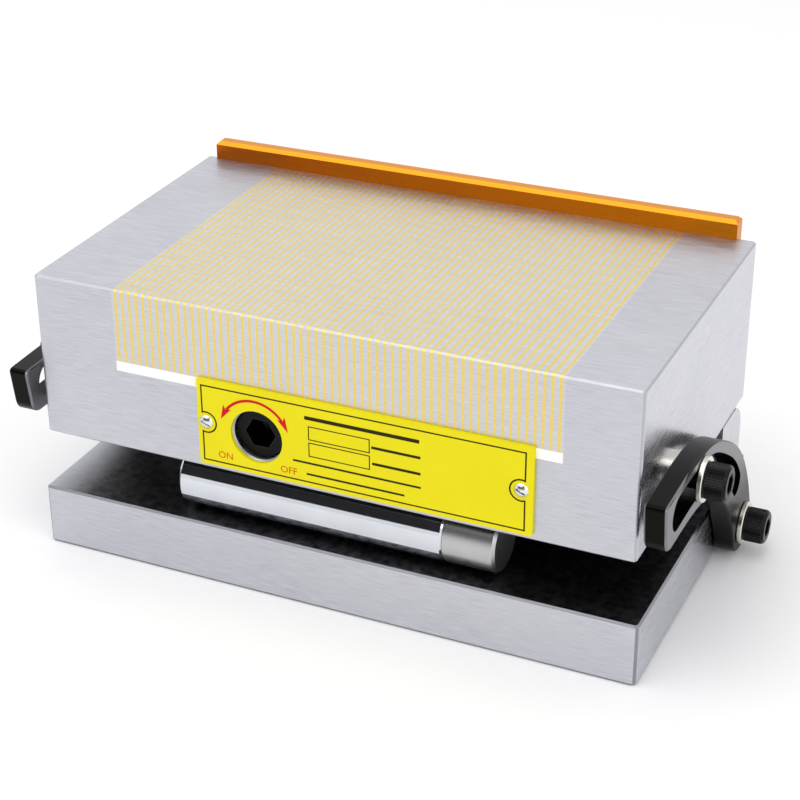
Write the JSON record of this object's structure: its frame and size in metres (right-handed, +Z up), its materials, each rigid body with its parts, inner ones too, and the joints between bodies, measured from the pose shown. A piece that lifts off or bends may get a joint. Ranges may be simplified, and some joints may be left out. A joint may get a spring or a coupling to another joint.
{
  "type": "magnetic sine chuck",
  "caption": "Single sine plate carrying a fine-pole magnetic chuck with switch, stop rail and slotted clamping arms; it holds steel work at a set angle.",
  "frame": {"origin": "middle of the base's underside", "axes": "+X along the row of poles to the right seen from the front, +Y from the front to the back, +Z up"},
  "size_m": [0.2066, 0.108, 0.0908],
  "materials": {
    "ground_steel": "surface-ground tool steel",
    "pole_steel": "surface-ground soft iron poles",
    "pole_brass": "ground flush with the poles",
    "resin": "cast white epoxy",
    "rail_alloy": "orange anodised bar",
    "plate_yellow": "yellow enamel with dark lines",
    "polished_steel": "lapped and polished",
    "cap_steel": "fine turned",
    "arm_steel": "blued sides, black edges",
    "black_oxide": "black oxide",
    "washer_zinc": "bright zinc plate",
    "cover_steel": "milled",
    "o_ring": "nitrile",
    "spring_steel": "phosphated",
    "bronze": "sintered",
    "carriage_alloy": "machined",
    "magnet": "ferrite magnet blocks"
  },
  "bodies": {
    "base": {"base_plate": "ground_steel", "hinge_lug_left": "ground_steel", "hinge_lug_right": "ground_steel", "hinge_lug_screws": "black_oxide", "hinge_lug_dowels": "polished_steel", "pivot_screws": "black_oxide", "pivot_washers": "washer_zinc"},
    "chuck": {"chuck_body": "ground_steel", "bottom_cover": "cover_steel", "bottom_cover_screws": "black_oxide", "steel_poles": "pole_steel", "brass_strips": "pole_brass", "resin_seals": "resin", "stop_rail": "rail_alloy", "stop_rail_screws": "black_oxide", "nameplate": "plate_yellow", "nameplate_screws": "polished_steel", "front_roller": "polished_steel", "roller_end_piece": "cap_steel", "hinge_roller": "polished_steel", "hinge_pins": "polished_steel", "roller_screws": "black_oxide", "shaft_bush": "bronze", "clamp_spacers": "washer_zinc"},
    "switch": {"switch_shaft": "black_oxide", "shaft_o_ring": "o_ring", "shaft_circlip": "spring_steel", "eccentric": "cap_steel", "eccentric_pin": "polished_steel"},
    "carriage": {"magnet_carriage": "carriage_alloy", "magnet_blocks": "magnet", "flux_plates": "cover_steel"},
    "arm_left": {"clamp_arm_left": "arm_steel"},
    "arm_right": {"clamp_arm_right": "arm_steel"},
    "washer_left": {"clamp_washer_left": "washer_zinc"},
    "washer_right": {"clamp_washer_right": "washer_zinc"},
    "screw_left": {"clamp_screw_left": "black_oxide"},
    "screw_right": {"clamp_screw_right": "black_oxide"}
  },
  "joints": [
    {"name": "tilt", "type": "hinge", "parent": "base", "child": "chuck", "pos_m": [0, 0.041, 0.0278], "axis": [-1, 0, 0], "range_deg": [0, 45]},
    {"name": "arm_left_swing", "type": "hinge", "parent": "base", "child": "arm_left", "pos_m": [0, 0.0263, 0.0092], "axis": [-1, 0, 0], "range_deg": [0, 49.5]},
    {"name": "arm_right_swing", "type": "hinge", "parent": "base", "child": "arm_right", "pos_m": [0, 0.0263, 0.0092], "axis": [-1, 0, 0], "range_deg": [0, 49.5]},
    {"name": "magnet_slide", "type": "slide", "parent": "chuck", "child": "carriage", "axis": [1, 0, 0], "range_m": [0, 0.00432]},
    {"name": "switch_turn", "type": "hinge", "parent": "chuck", "child": "switch", "pos_m": [-0.0192, 0, 0.0498], "axis": [0, -1, 0], "range_deg": [0, 180]},
    {"name": "clamp_left_lift", "type": "slide", "parent": "chuck", "child": "washer_left", "axis": [-1, 0, 0], "range_m": [0, 0.001]},
    {"name": "clamp_left_turn", "type": "hinge", "parent": "washer_left", "child": "screw_left", "pos_m": [0, -0.0227, 0.0494], "axis": [-1, 0, 0], "range_deg": [0, 360]},
    {"name": "clamp_right_lift", "type": "slide", "parent": "chuck", "child": "washer_right", "axis": [1, 0, 0], "range_m": [0, 0.001]},
    {"name": "clamp_right_turn", "type": "hinge", "parent": "washer_right", "child": "screw_right", "pos_m": [0, -0.0227, 0.0494], "axis": [1, 0, 0], "range_deg": [0, 360]}
  ],
  "couplings": [
    {"joint": "arm_left_swing", "follows": "tilt", "ratio": 1.1},
    {"joint": "arm_right_swing", "follows": "tilt", "ratio": 1.1},
    {"joint": "switch_turn", "follows": "magnet_slide", "rad_per_m": 727.2},
    {"joint": "clamp_left_turn", "follows": "clamp_left_lift", "rad_per_m": 6283},
    {"joint": "clamp_right_turn", "follows": "clamp_right_lift", "rad_per_m": 6283}
  ]
}
